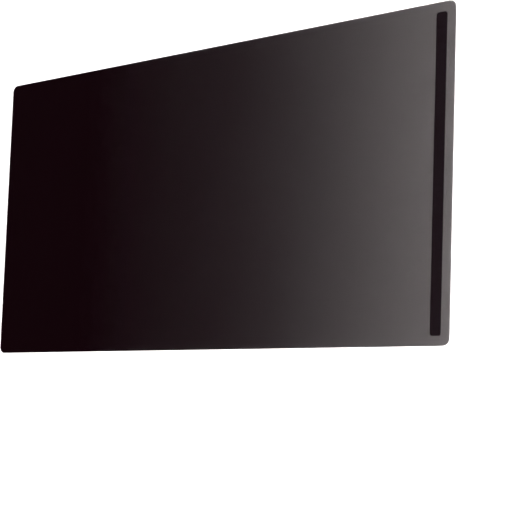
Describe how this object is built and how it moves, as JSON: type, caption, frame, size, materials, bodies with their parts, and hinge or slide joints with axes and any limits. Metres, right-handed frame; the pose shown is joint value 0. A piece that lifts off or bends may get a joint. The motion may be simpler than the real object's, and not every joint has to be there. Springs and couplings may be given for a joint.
{
  "type": "monitor privacy filter",
  "caption": "Flat dark see-through sheet with round corners and a black mounting strip along the back of each short side, which darkens a monitor's picture for onlookers at the side.",
  "frame": {"origin": "midway between the two strips, at the level of their undersides, on which the filter lies", "axes": "+X along the wide side, to the right as a viewer sees the front; +Y up the screen; +Z out of the front face, upwards as the filter lies"},
  "size_m": [0.531, 0.299, 0.0014],
  "materials": {
    "louvre_film": "matt anti-glare film, smoke-tinted and see-through from the front",
    "strip_rubber": "flat black flexible magnetic strip"
  },
  "bodies": {
    "root": {"filter_panel": "louvre_film", "mounting_strip_left": "strip_rubber", "mounting_strip_right": "strip_rubber"}
  },
  "joints": []
}
